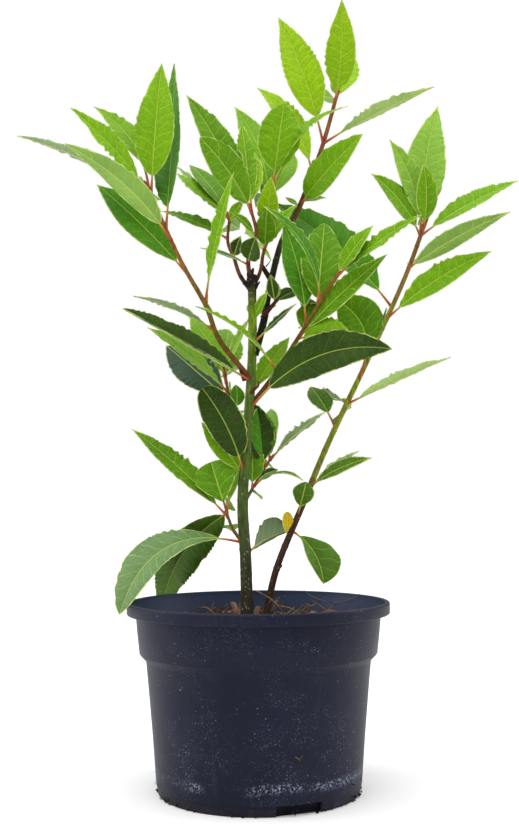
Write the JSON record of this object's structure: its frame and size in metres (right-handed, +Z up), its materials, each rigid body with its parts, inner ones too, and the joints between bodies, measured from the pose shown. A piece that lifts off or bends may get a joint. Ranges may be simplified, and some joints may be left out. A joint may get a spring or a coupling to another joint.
{
  "type": "potted young bay laurel shrub",
  "caption": "Young two-stemmed bay laurel shrub with leathery wavy-edged leaves, in a round tapering plastic nursery pot.",
  "frame": {"origin": "centre of the pot's flat underside", "axes": "+Z up, +X to the plant's right as seen from its front, +Y towards its back"},
  "size_m": [0.3782, 0.2023, 0.5887],
  "materials": {
    "pot": "blue-black nursery plastic, slightly worn",
    "mix": "peat-like potting mix with bark chips",
    "bark": "smooth young bark, brown at the foot and olive green above",
    "leaf": "leathery leaf, waxy upper face"
  },
  "bodies": {
    "root": {"pot": "pot", "potting_mix": "mix", "main_stem": "bark", "second_stem": "bark", "leader_bough": "bark", "left_bough": "bark", "right_bough": "bark", "second_shoot": "leaf", "leader_shoot": "leaf", "left_shoot": "leaf", "right_shoot": "leaf", "stub_left_shoot": "leaf", "stub_mid_shoot": "leaf", "stub_right_shoot": "leaf", "spur_shoot": "leaf", "left_mid_shoot": "leaf", "lower_left_shoot": "leaf", "lower_right_shoot": "leaf", "main_leaf_1": "leaf", "main_leaf_2": "leaf", "main_leaf_3": "leaf", "main_leaf_4": "leaf", "main_leaf_5": "leaf", "main_leaf_6": "leaf", "main_leaf_7": "leaf", "main_leaf_8": "leaf", "main_leaf_9": "leaf", "main_leaf_10": "leaf", "second_leaf_1": "leaf", "second_leaf_2": "leaf", "second_leaf_3": "leaf", "second_leaf_4": "leaf", "second_leaf_5": "leaf"}
  },
  "joints": []
}
